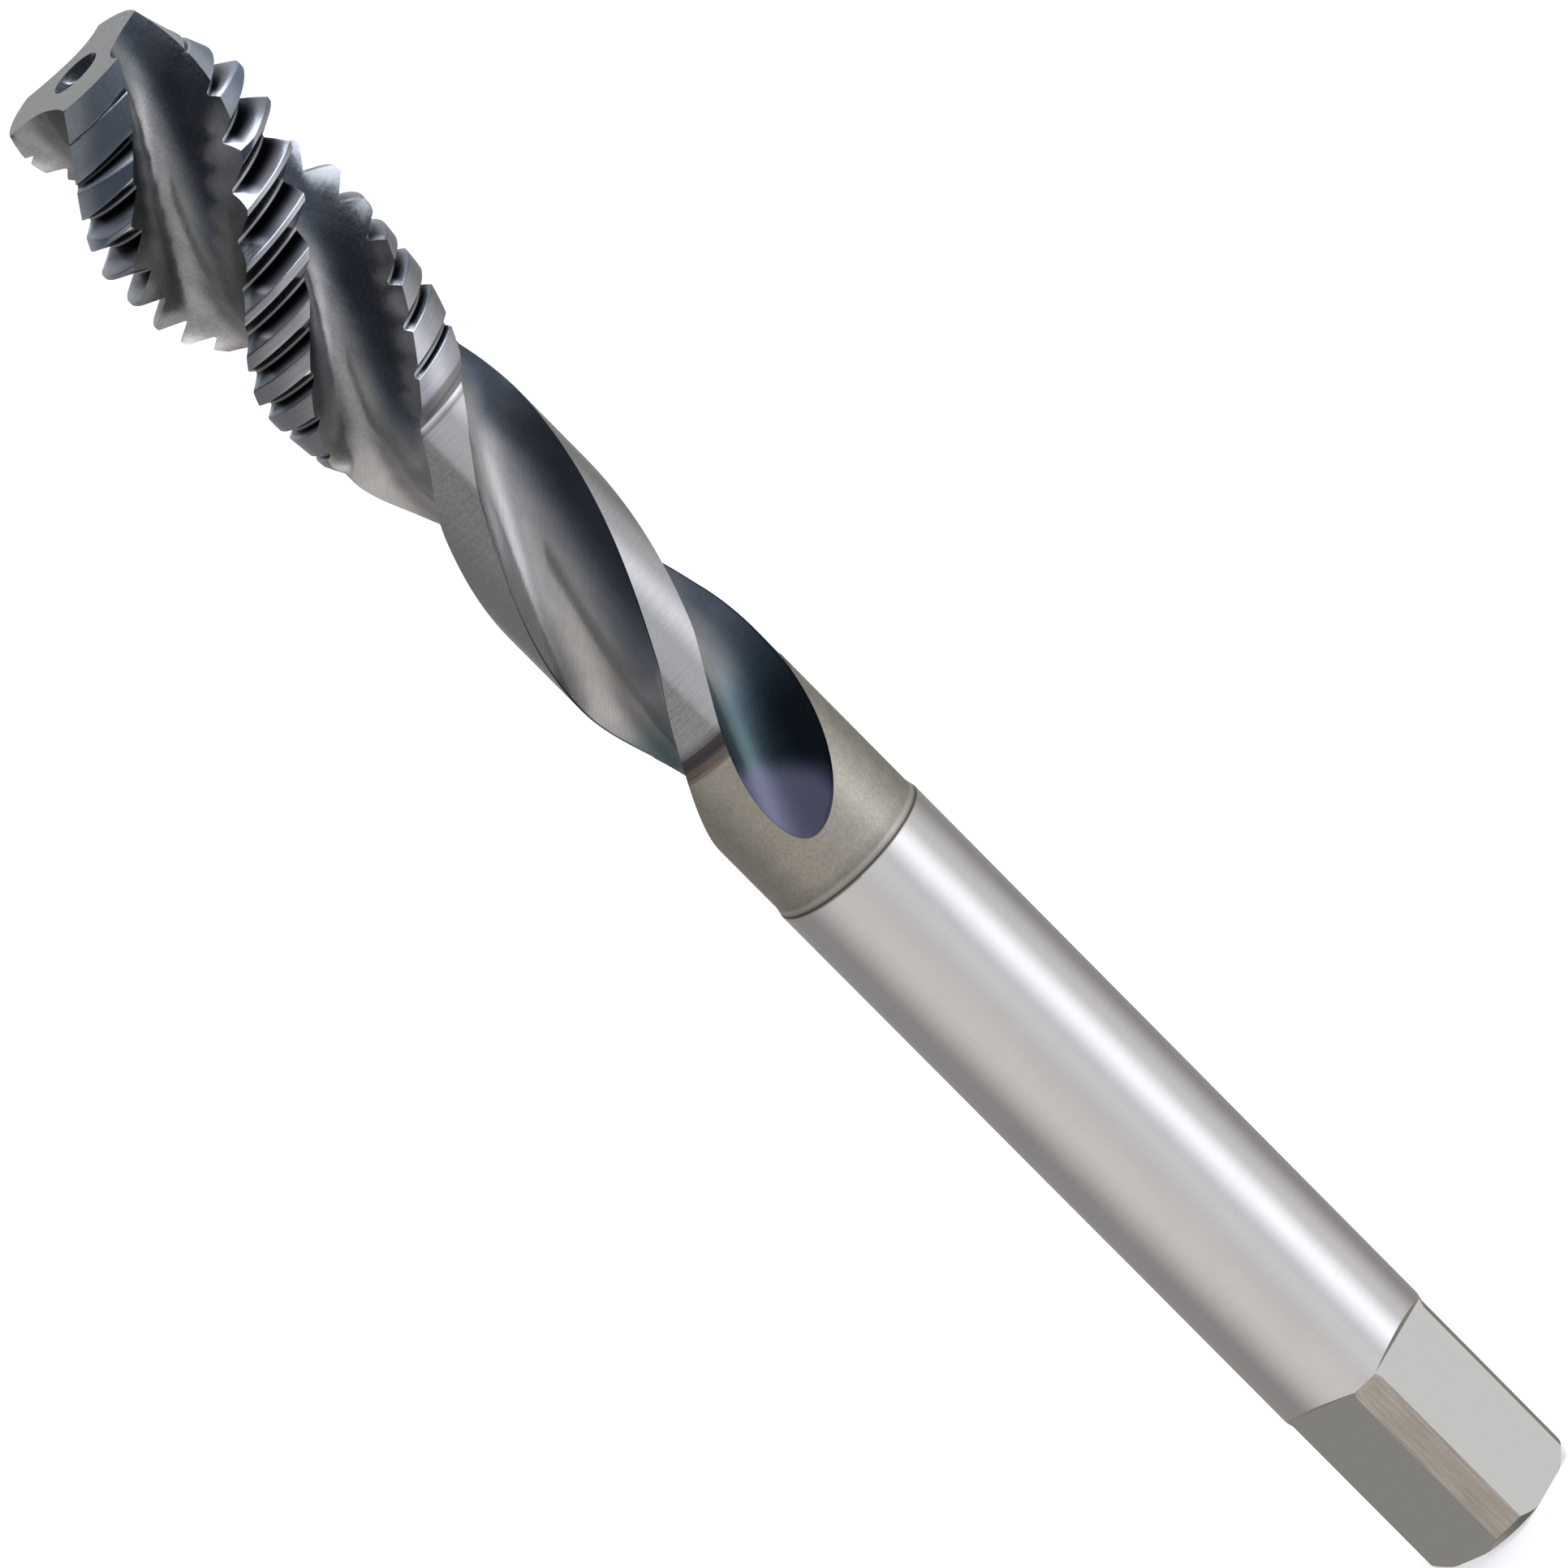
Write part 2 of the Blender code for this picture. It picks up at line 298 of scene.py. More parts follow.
def neck_rows():
    """Along the neck, closer together towards the end of the run-out, with a row on each band's edge."""
    start = SIZES["Thread end depth"] + SIZES["Thread shoulder length"]
    run_out = SIZES["Flute length"] - SIZES["Run out length"]
    neck = SIZES["Neck radius"]
    depths = [start] + spread(start, run_out, NECK_ROWS)
    for step in range(1, RUN_OUT_ROWS + 1):
        left = (1 - step / RUN_OUT_ROWS) ** 2
        depths.append(SIZES["Flute length"] - SIZES["Run out length"] * left)
    for edge in (*BAND_DEPTHS, GROUND_NECK_END):
        nearest = min(range(len(depths)), key=lambda index: abs(depths[index] - edge))
        depths[nearest] = edge
    rows = []
    for depth in depths:
        surface = NECK if depth < BAND_DEPTHS[0] else TINT if depth < BAND_DEPTHS[2] else ROUGH
        ground = depth < GROUND_NECK_END + 1e-6
        rows.append(outline_row(depth, neck if ground else ROUGH_NECK_RADIUS, surface))
    return rows


def shank_rows():
    """From the end of the flutes over the collar, shank and square to the middle of the rear end."""
    shank = SIZES["Shank radius"]
    corner = SIZES["Corner radius"]
    length = SIZES["Length"]
    flats_length = SIZES["Square length"] - SIZES["Shoulder rise"]
    shank_end = length - flats_length
    rows = []
    for depth in spread(SIZES["Flute length"], COLLAR_DEPTH - COLLAR_LENGTH, ROUGH_NECK_ROWS):
        rows.append(outline_row(depth, ROUGH_NECK_RADIUS, ROUGH))
    rows[-1]["surface"] = COLLAR
    rows.append(outline_row(COLLAR_DEPTH, shank, SHANK))
    rows.append(outline_row(COLLAR_DEPTH + COLLAR_EDGE, shank, SHANK))
    for share in spread(0, 1, SHANK_ROWS)[:-1]:
        depth = COLLAR_DEPTH + (shank_end - SIZES["Shoulder rise"] - COLLAR_DEPTH) * share
        rows.append(outline_row(depth, shank, SHANK, squared=share))
    rows.append(square_row(shank_end, shank, SHOULDER, rim=1.0))
    rows.append(square_row(shank_end, shank, SQUARE, flats=1.0))
    rows.append(square_row(shank_end + CORNER_STEP_LENGTH, corner, SQUARE, flats=1.0))
    for share in spread(0, 1, FLAT_ROWS)[:-1]:
        depth = shank_end + CORNER_STEP_LENGTH + (flats_length - CORNER_STEP_LENGTH - REAR_CHAMFER) * share
        rows.append(square_row(depth, corner, SQUARE, flats=1.0))
    rows.append(square_row(length, corner, REAR, flats=1.0, chamfer=1.0))
    for share in [0.0] + spread(0, 1, END_ROWS):
        rows.append(square_row(length, corner, REAR, flats=1.0, chamfer=2.0, core_share=share))
    return rows


def outline_object():
    """The outline as a line of points, each with its row's values."""
    rows = tip_rows() + thread_rows() + neck_rows() + shank_rows()
    mesh = bpy.data.meshes.new("tap_outline")
    points = [(row["blank"] * MM, 0, row["station"] * MM) for row in rows]
    mesh.from_pydata(points, [(index, index + 1) for index in range(len(rows) - 1)], [])
    for name in rows[0]:
        attribute = mesh.attributes.new(name, "FLOAT", "POINT")
        attribute.data.foreach_set("value", [float(row[name]) for row in rows])
    made = bpy.data.objects.new("tap", mesh)
    bpy.context.collection.objects.link(made)
    return made


# The tree that sweeps the outline


def attribute_name(label):
    return label.lower().replace(" ", "_")


class Sweep:
    """Builds the node tree that turns the outline's rows and a flute's columns into the tap's skin."""

    def __init__(self, finishes):
        self.tree = bpy.data.node_groups.new("tap_sweep", "GeometryNodeTree")
        self.finishes = finishes
        sockets = self.tree.interface
        sockets.new_socket(name="Geometry", in_out="INPUT", socket_type="NodeSocketGeometry")
        for label in (*SIZES, *COLUMNS):
            sockets.new_socket(name=label, in_out="INPUT", socket_type="NodeSocketFloat")
        sockets.new_socket(name="Geometry", in_out="OUTPUT", socket_type="NodeSocketGeometry")
        self.source = self.tree.nodes.new("NodeGroupInput")
        self.size = SimpleNamespace()
        for label in (*SIZES, *COLUMNS):
            setattr(self.size, attribute_name(label), Field(self.tree, self.source.outputs[label]))
        self.build()

    def link(self, source, target):
        link(self.tree, source, target)

    def node(self, kind, **settings):
        made = self.tree.nodes.new(kind)
        for name, value in settings.items():
            setattr(made, name, value)
        return made

    def after(self, skin, kind, **settings):
        """A node that takes a mesh in its first socket."""
        made = self.node(kind, **settings)
        self.link(skin, made.inputs[0])
        return made

    def attribute(self, name):
        node = self.node("GeometryNodeInputNamedAttribute", data_type="FLOAT")
        node.inputs["Name"].default_value = name
        return Field(self.tree, node.outputs["Attribute"])

    def store(self, skin, name, value, domain="POINT"):
        node = self.after(skin, "GeometryNodeStoreNamedAttribute", data_type="FLOAT", domain=domain)
        node.inputs["Name"].default_value = name
        self.link(value, node.inputs["Value"])
        return node.outputs["Geometry"]

    def from_row(self, name, row):
        """What the outline says at a row."""
        outline = self.source.outputs["Geometry"]
        node = self.after(outline, "GeometryNodeSampleIndex", data_type="FLOAT", domain="POINT")
        self.link(self.attribute(name), node.inputs["Value"])
        self.link(row, node.inputs["Index"])
        return Field(self.tree, node.outputs["Value"])

    def grid(self):
        """A flat grid with a column for each step round the tap and a row for each of the outline's."""
        size = self.size
        counted = self.after(self.source.outputs["Geometry"], "GeometryNodeAttributeDomainSize")
        rows = Field(self.tree, counted.outputs["Point Count"])
        per_flute = size.face_steps + size.hook_steps + size.heel_steps
        self.flute_columns = per_flute + size.heel_edge_steps
        self.per_flute = self.flute_columns + size.land_steps
        columns = self.per_flute * size.flutes
        grid = self.node("GeometryNodeMeshGrid")
        self.link(columns, grid.inputs["Size X"])
        self.link(rows - 1.0, grid.inputs["Size Y"])
        self.link(columns + 1.0, grid.inputs["Vertices X"])
        self.link(rows, grid.inputs["Vertices Y"])
        place = self.node("GeometryNodeInputPosition")
        apart = self.node("ShaderNodeSeparateXYZ")
        self.link(place.outputs[0], apart.inputs[0])
        column = Field(self.tree, apart.outputs["X"]) + columns / 2.0
        row = Field(self.tree, apart.outputs["Y"]) + (rows - 1.0) / 2.0
        skin = grid.outputs["Mesh"]
        skin = self.store(skin, "column", maths("ROUND", column))
        skin = self.store(skin, "row", maths("ROUND", row))
        skin = self.store(skin, "face_column", maths("FLOOR", column), "FACE")
        face_row = maths("FLOOR", row)
        skin = self.store(skin, "surface", self.from_row("surface", face_row), "FACE")
        row = self.attribute("row")
        for name in ROW_VALUES:
            skin = self.store(skin, name, self.from_row(name, row))
        return skin

    def column_shares(self):
        """How far a column is along each part of its flute, and across the land behind it."""
        size = self.size
        column = self.attribute("column")
        number = maths("FLOOR", column / self.per_flute)
        local = column - number * self.per_flute
        face = size.face_steps
        hook = face + size.hook_steps
        heel = hook + size.heel_steps
        edge = heel + size.heel_edge_steps
        return SimpleNamespace(
            number=number,
            face=clamped((face - local) / size.face_steps),
            hook=clamped((hook - local) / size.hook_steps),
            heel=clamped((local - hook) / size.heel_steps),
            heel_edge=clamped((local - heel) / size.heel_edge_steps),
            land=clamped((local - edge) / size.land_steps),
            past_bottom=is_above(local, hook - HALF_STEP),
            on_land=is_above(local, edge - HALF_STEP),
        )

    def flute_turn(self, depth):
        """The flutes' turn at a depth, with the lead changing evenly, up to their end."""
        size = self.size
        depth = smaller(depth, size.flute_length)
        thread_rate = FULL_TURN / size.thread_flute_lead
        neck_rate = FULL_TURN / size.neck_flute_lead
        change_end = size.lead_change_depth + size.lead_change_length
        share = clamped((depth - size.lead_change_depth) / size.lead_change_length)
        changed = size.lead_change_length * share * share / 2.0
        beyond = larger(depth - change_end, 0.0)
        return thread_rate * depth + (neck_rate - thread_rate) * (changed + beyond)

    def run_out(self, depth):
        """How far the grinding wheel has left the flute: 0 before the run-out, 1 where it ends."""
        size = self.size
        depth = smaller(depth, size.flute_length)
        run = larger(depth - (size.flute_length - size.run_out_length), 0.0) / size.run_out_length
        return run * run

    def run_out_bend(self, depth):
        """What a flute's last stretch turns besides its lead."""
        size = self.size
        share = clamped((depth - (size.flute_length - size.bend_length)) / size.bend_length)
        return share * (size.bend_back * share - size.bend_away)

    def root_radius(self):
        size = self.size
        height = (size.pitch - size.crest_flat - size.root_flat) / (2 * THREAD_SLOPE)
        return size.thread_radius - height

    def thread_limit(self, depth, relief):
        """The radius that the chamfer, the full thread, its fading end and the shoulder leave."""
        size = self.size
        tip = self.root_radius() - size.tip_below_root
        slope = (size.thread_radius - tip) / size.chamfer_length
        cone = tip - size.heel_relief_at_tip * relief + (slope - size.heel_relief_slope * relief) * depth
        end_radius = self.root_radius() + size.thread_end_height
        fade = (size.thread_radius - end_radius) / (size.thread_end_depth - size.full_thread_depth)
        fading = end_radius + fade * (size.thread_end_depth - depth)
        drop = (end_radius - size.neck_radius) / size.thread_shoulder_length
        shoulder = end_radius - drop * (depth - size.thread_end_depth)
        limit = smaller(smaller(cone, size.thread_radius), smaller(fading, shoulder))
        return larger(limit, size.neck_radius - size.heel_relief_at_tip - LIMIT_CLEAR)

    def thread_shape(self, depth, relief):
        """A thread row's distance from its crest, and its radius."""
        size = self.size
        limit = self.thread_limit(depth, relief)
        reach = maths("ABSOLUTE", self.attribute("reach"))
        side = maths("SIGN", self.attribute("reach"))
        root = self.root_radius() - size.tip_root_drop * clamped(1.0 - depth / size.chamfer_length)
        half_pitch = size.pitch / 2.0
        to_root = half_pitch - size.root_flat / 2.0
        to_crest = smaller(size.crest_flat / 2.0 + (size.thread_radius - limit) * THREAD_SLOPE, to_root)
        out = to_crest * clamped(reach)
        out = out + (to_root - to_crest) * clamped(reach - 1.0)
        out = out + (half_pitch - to_root) * clamped(reach - 2.0)
        out = out + self.attribute("shift") * side
        flank = size.thread_radius - (out - size.crest_flat / 2.0) / THREAD_SLOPE
        profile = maths("SMOOTH_MIN", flank, limit, size.crest_rounding)
        profile = larger(profile, smaller(root, limit))
        return out * side, profile

    def flute_shape(self, depth, outside, shares):
        """A column's radius and its angle from the flute's deepest line."""
        size = self.size
        heel_share = clamped((depth - size.heel_change_depth) / size.heel_change_length)
        hook_share = clamped((depth - size.hook_change_depth) / size.hook_change_length)
        heel = blend(size.heel_radius, size.neck_heel_radius, heel_share)
        hook = blend(size.hook_radius, size.neck_hook_radius, hook_share)
        web = blend(size.web_radius, size.neck_web_radius, hook_share)
        lift = (ROUGH_NECK_RADIUS - size.neck_web_radius) * self.run_out(depth)
        past_end = is_above(depth, size.flute_length + END_CLEAR)
        bottom = smaller(web + lift + past_end, outside)

        def arc_turn(radius, reach):
            centre = bottom + radius
            cosine = (centre * centre + radius * radius - reach * reach) / (2.0 * centre * radius)
            return maths("ARCCOSINE", larger(smaller(cosine, 1.0), -1.0))

        inner = smaller(outside, larger(self.root_radius() - HEEL_EDGE_HEIGHT, bottom))
        heel_inner = arc_turn(heel, inner)
        heel_outer = arc_turn(heel, outside)
        heel_turn = shares.heel * heel_inner + shares.heel_edge * (heel_outer - heel_inner)
        hook_full = smaller(arc_turn(hook, outside), math.pi / 2 - size.face_angle)
        hook_turn = shares.hook * hook_full

        def arc_point(radius, turn):
            return radius * (1.0 - maths("COSINE", turn)), radius * maths("SINE", turn)

        lean = maths("TANGENT", size.face_angle)
        top_out, top_side = arc_point(hook, hook_full)
        start_out = bottom + top_out
        along = start_out + top_side * lean
        rest = (1.0 + lean * lean) * (start_out * start_out + top_side * top_side - outside * outside)
        reach = (maths("SQRT", larger(along * along - rest, 0.0)) - along) / (1.0 + lean * lean)
        reach = larger(reach, 0.0)

        heel_out, heel_side = arc_point(heel, heel_turn)
        hook_out, hook_side = arc_point(hook, hook_turn)
        face = shares.face * reach
        outward = bottom + heel_out + hook_out + face
        sideways = heel_side - hook_side - face * lean
        in_flute = maths("ARCTAN2", sideways, outward)
        radius = maths("SQRT", outward * outward + sideways * sideways)

        edge_out, edge_side = arc_point(heel, heel_outer)
        heel_angle = maths("ARCTAN2", edge_side, bottom + edge_out)
        cut_angle = maths("ARCTAN2", -(top_side + reach * lean), start_out + reach)
        next_angle = FULL_TURN / size.flutes + cut_angle
        on_land = blend(heel_angle, next_angle, shares.land)
        angle = blend(in_flute, on_land, shares.on_land)
        return blend(radius, outside, shares.on_land), angle

    def square_shape(self, outside, angle, shares):
        """Moves the columns behind the collar onto the square's edges, and cuts its flats."""
        size = self.size
        per_side = size.land_steps * size.flutes / SQUARE_SIDES
        blank = self.attribute("blank")
        edge = maths("ARCCOSINE", size.across_flats / 2.0 / larger(blank, size.corner_radius))
        step = shares.number * size.land_steps + shares.land * size.land_steps
        side = maths("FLOOR", step / per_side + STEP_CLEAR)
        local = step - side * per_side
        band = math.pi / 2 - 2.0 * edge
        turn = band * clamped(local / CORNER_STEPS)
        turn = turn + 2.0 * edge * clamped((local - CORNER_STEPS) / (per_side - CORNER_STEPS))
        start = -math.pi / 2 + edge
        placed = start + side * (math.pi / 2) + turn
        whole_turns = maths("ROUND", (angle - placed) / FULL_TURN)
        placed = placed + whole_turns * FULL_TURN
        new_angle = blend(angle, placed, self.attribute("squared"))
        quarter = new_angle - maths("ROUND", new_angle / (math.pi / 2)) * (math.pi / 2)
        facing = maths("COSINE", quarter)
        flat_radius = size.across_flats / 2.0 / facing
        cut = smaller(outside, flat_radius)
        radius = blend(outside, cut, self.attribute("flats"))
        above_flat = larger(outside * facing - size.across_flats / 2.0, 0.0)
        slope = size.shoulder_rise / (size.shank_radius - size.across_flats / 2.0)
        rim = above_flat * slope * self.attribute("rim")
        end_radius = smaller(radius, size.corner_radius - REAR_CHAMFER)
        chamfer = self.attribute("chamfer")
        chamfer_rise = (radius - end_radius) * clamped(chamfer) * clamped(2.0 - chamfer)
        radius = blend(radius, end_radius, clamped(chamfer - 1.0))
        return radius, new_angle, rim + chamfer_rise

    def place(self, skin):
        """Finds every point's depth, radius and angle, going round until the helical rows settle."""
        size = self.size
        shares = self.column_shares()
        helical = self.attribute("helical")
        station = self.attribute("station")
        thread_end = size.thread_end_depth + size.thread_shoulder_length

        begin = self.node("GeometryNodeRepeatInput")
        finish = self.node("GeometryNodeRepeatOutput")
        begin.pair_with_output(finish)
        finish.repeat_items.clear()
        for name in ("Depth", "Radius", "Angle", "Raise"):
            finish.repeat_items.new("FLOAT", name)
        begin.inputs["Iterations"].default_value = SETTLING_ROUNDS
        self.link(station, begin.inputs["Depth"])

        depth = Field(self.tree, begin.outputs["Depth"])
        relief = (1.0 - shares.land) * shares.past_bottom
        along, thread_radius = self.thread_shape(depth, relief)
        outside = blend(self.attribute("blank"), thread_radius, helical)
        outside = blend(outside, self.thread_limit(depth, relief), self.at_tip())
        radius, angle = self.flute_shape(depth, outside, shares)
        start = size.first_flute_angle + shares.number * (FULL_TURN / size.flutes)
        angle = start + angle - self.flute_turn(depth) + self.run_out_bend(depth)
        radius, angle, lift = self.square_shape(radius, angle, shares)
        wound = station + along - size.pitch / FULL_TURN * angle
        wound = smaller(larger(wound, 0.0), thread_end)
        new_depth = blend(station, wound, helical)
        self.link(new_depth, finish.inputs["Depth"])
        self.link(radius, finish.inputs["Radius"])
        self.link(angle, finish.inputs["Angle"])
        self.link(lift, finish.inputs["Raise"])

        radius = Field(self.tree, finish.outputs["Radius"])
        angle = Field(self.tree, finish.outputs["Angle"])
        depth = Field(self.tree, finish.outputs["Depth"]) - Field(self.tree, finish.outputs["Raise"])
        core_share = self.attribute("core_share")
        radius = blend(radius, self.attribute("core_radius"), core_share)

        # From -1 at a flute's cutting edge, over 0 at its deepest line, to 1 at its heel
        across = shares.heel * 0.8 + shares.heel_edge * 0.2 - shares.hook * 0.7 - shares.face * 0.3
        skin = self.store(skin, "depth", depth)
        skin = self.store(skin, "across", across)
        skin = self.store(skin, "from_edge", (1.0 - shares.land) * shares.on_land)
        depth = self.attribute("depth")
        where = self.node("ShaderNodeCombineXYZ")
        self.link(radius * maths("COSINE", angle) * MM, where.inputs["X"])
        self.link(radius * maths("SINE", angle) * MM, where.inputs["Y"])
        self.link((size.length - depth) * MM, where.inputs["Z"])
        moved = self.after(skin, "GeometryNodeSetPosition")
        self.link(where.outputs[0], moved.inputs["Position"])
        return moved.outputs["Geometry"]

    def at_tip(self):
        """One on the planar rows of the tip face, which take the chamfer's radius."""
        return (1.0 - self.attribute("helical")) * is_above(0.5, self.attribute("station"))

    def finish_faces(self, skin):
        """Gives every face the rough neck's finish, and then each other finish over its own faces."""
        column = self.attribute("face_column") + HALF_STEP
        number = maths("FLOOR", column / self.per_flute)
        local = column - number * self.per_flute
        in_flute = is_above(self.flute_columns, local)
        surface = self.attribute("surface")
        step = number * self.size.land_steps + local - self.flute_columns
        per_side = self.size.land_steps * self.size.flutes / SQUARE_SIDES
        corner = is_above(CORNER_STEPS, step - maths("FLOOR", step / per_side) * per_side)
        parts = {"all": 1.0, "flutes": in_flute, "lands": 1.0 - in_flute}
        parts.update(corners=corner, flats=1.0 - corner)
        skin = self.set_material(skin, "rough_neck")
        for name, (part, *surfaces) in FINISH_FACES.items():
            skin = self.set_material(skin, name, matches(surface, surfaces) * parts[part])
        return skin

    def set_material(self, skin, name, chosen=None):
        node = self.after(skin, "GeometryNodeSetMaterial")
        node.inputs["Material"].default_value = self.finishes[name]
        if chosen:
            self.link(chosen, node.inputs["Selection"])
        return node.outputs["Geometry"]

    def build(self):
        merged = self.after(self.place(self.grid()), "GeometryNodeMergeByDistance")
        merged.inputs["Distance"].default_value = SAME_POINT
        outward = self.after(merged.outputs["Geometry"], "GeometryNodeFlipFaces")
        realized = self.after(outward.outputs["Mesh"], "GeometryNodeRealizeInstances")
        skin = self.finish_faces(realized.outputs["Geometry"])
        output = self.node("NodeGroupOutput")
        self.link(skin, output.inputs["Geometry"])


def matches(surface, numbers):
    """One where a face's surface is any of these."""
    total = 0.0
    for number in numbers:
        total = total + clamped(1.0 - maths("ABSOLUTE", surface - number) * 2.0)
    return total


# Finishes. Depths and widths in them are in millimetres, and grain is by the number of marks to each one

# Where the Noise Texture's values nearly all lie
NOISE_LOW = 0.28
NOISE_SPAN = 0.44

# The grinding wheel's ribs in a flute: how far they slant and wander, and the size of their waves
RIB_SLANT = 0.3
RIB_WANDER = 0.06
RIB_WAVES = 1.6
EVEN_RIBS = 0.45

# Past the thread: a painted highlight line and a painted shade line where its shoulder meets the neck
SHOULDER_HIGHLIGHT_DEPTH = 16.07
SHOULDER_SHADE_DEPTH = 16.24


def noise(tree, x, y, z, detail):
    """Cloudy noise from nought to one, with about one cloud to each unit of its three coordinates."""
    joined = tree.nodes.new("ShaderNodeCombineXYZ")
    for socket, value in zip(joined.inputs, (x, y, z)):
        link(tree, value, socket)
    texture = tree.nodes.new("ShaderNodeTexNoise")
    texture.inputs["Scale"].default_value = 1.0
    texture.inputs["Detail"].default_value = detail
    tree.links.new(joined.outputs[0], texture.inputs["Vector"])
    return clamped((Field(tree, texture.outputs[0]) - NOISE_LOW) / NOISE_SPAN)


def mask_group(name, inputs, build):
    """A shader node group that puts out one mask."""
    tree = bpy.data.node_groups.new(name, "ShaderNodeTree")
    for label in inputs:
        tree.interface.new_socket(name=label, in_out="INPUT", socket_type="NodeSocketFloat")
    tree.interface.new_socket(name="Mask", in_out="OUTPUT", socket_type="NodeSocketFloat")
    source = tree.nodes.new("NodeGroupInput")
    target = tree.nodes.new("NodeGroupOutput")
    given = [Field(tree, source.outputs[label]) for label in inputs]
    link(tree, build(tree, *given), target.inputs["Mask"])
    return tree


def place_in_mm(tree):
    """The three Object coordinates, in millimetres."""
    place = tree.nodes.new("ShaderNodeTexCoord")
    apart = tree.nodes.new("ShaderNodeSeparateXYZ")
    tree.links.new(place.outputs["Object"], apart.inputs[0])
    return [Field(tree, apart.outputs[axis]) / MM for axis in "XYZ"]


def grain_of(tree, around, along):
    """Marks with a number to each millimetre round the tap and along it."""
    x, y, z = place_in_mm(tree)
    return noise(tree, x * around, y * around, z * along, 3.0)


def wheel_marks(tree, depth, across, fineness):
    """Slanting ribs left across a flute by the grinding wheel."""
    x, y, z = place_in_mm(tree)
    wave = noise(tree, x * RIB_WAVES, y * RIB_WAVES, z * RIB_WAVES, 1.0)
    rib = (across + depth * RIB_SLANT + wave * RIB_WANDER) * fineness
    even = maths("SINE", rib * FULL_TURN) * 0.5 + 0.5
    return even * EVEN_RIBS + noise(tree, rib, depth * 1.1, wave, 2.0) * (1.0 - EVEN_RIBS)


def line_mask(tree, value, centre, width):
    """One on a thin line where the value is at its centre, fading out over the width."""
    return clamped(1.0 - maths("ABSOLUTE", value - centre) / width)


def step_mask(tree, value, start, length):
    """Rises from nought to one past the start."""
    return eased(clamped((value - start) / length))


def effect_groups():
    return SimpleNamespace(
        grain=mask_group("metal_grain", ("Around", "Along"), grain_of),
        wheel=mask_group("wheel_marks", ("Depth", "Across", "Fineness"), wheel_marks),
        line=mask_group("thin_line", ("Value", "Centre", "Width"), line_mask),
        step=mask_group("soft_step", ("Value", "Start", "Length"), step_mask),
    )


def principled(name):
    """A new material and its Principled BSDF."""
    material = bpy.data.materials.new(name)
    material.use_nodes = True
    return material, material.node_tree.nodes["Principled BSDF"]


class Finish:
    """One steel surface: its material, and the masks that its colour, roughness and relief come from."""

    def __init__(self, name, effects):
        self.material, self.shader = principled(name)
        self.tree = self.material.node_tree
        self.effects = effects
        self.shader.inputs["Metallic"].default_value = 1.0

    def attribute(self, name):
        node = self.tree.nodes.new("ShaderNodeAttribute")
        node.attribute_name = name
        return Field(self.tree, node.outputs["Fac"])

    def effect(self, name, *values):
        node = self.tree.nodes.new("ShaderNodeGroup")
        node.node_tree = getattr(self.effects, name)
        for socket, value in zip(node.inputs, values):
            link(self.tree, value, socket)
        return Field(self.tree, node.outputs["Mask"])

    def grain(self, around, along):
        return self.effect("grain", around, along)

    def line(self, value, centre, width):
        return self.effect("line", value, centre, width)

    def step(self, value, start, length):
        return self.effect("step", value, start, length)

    def mixed(self, one, other, share):
        """Mixes two colours by a mask. The Mix node's colours are its sockets A_Color and B_Color."""
        node = self.tree.nodes.new("ShaderNodeMix")
        node.data_type = "RGBA"
        sockets = {socket.identifier: socket for socket in (*node.inputs, *node.outputs)}
        for name, colour in (("A_Color", one), ("B_Color", other)):
            if isinstance(colour, tuple):
                sockets[name].default_value = (*colour, 1)
            else:
                self.tree.links.new(colour, sockets[name])
        link(self.tree, share, sockets["Factor_Float"])
        return sockets["Result_Color"]

    def done(self, colour, roughness, height, depth_of_marks):
        """Links up the shader. The depth of the marks is in microns."""
        self.tree.links.new(colour, self.shader.inputs["Base Color"])
        link(self.tree, roughness, self.shader.inputs["Roughness"])
        bump = self.tree.nodes.new("ShaderNodeBump")
        bump.inputs["Strength"].default_value = 1.0
        bump.inputs["Distance"].default_value = depth_of_marks * MICRON
        link(self.tree, height, bump.inputs["Height"])
        self.tree.links.new(bump.outputs["Normal"], self.shader.inputs["Normal"])
        return self.material


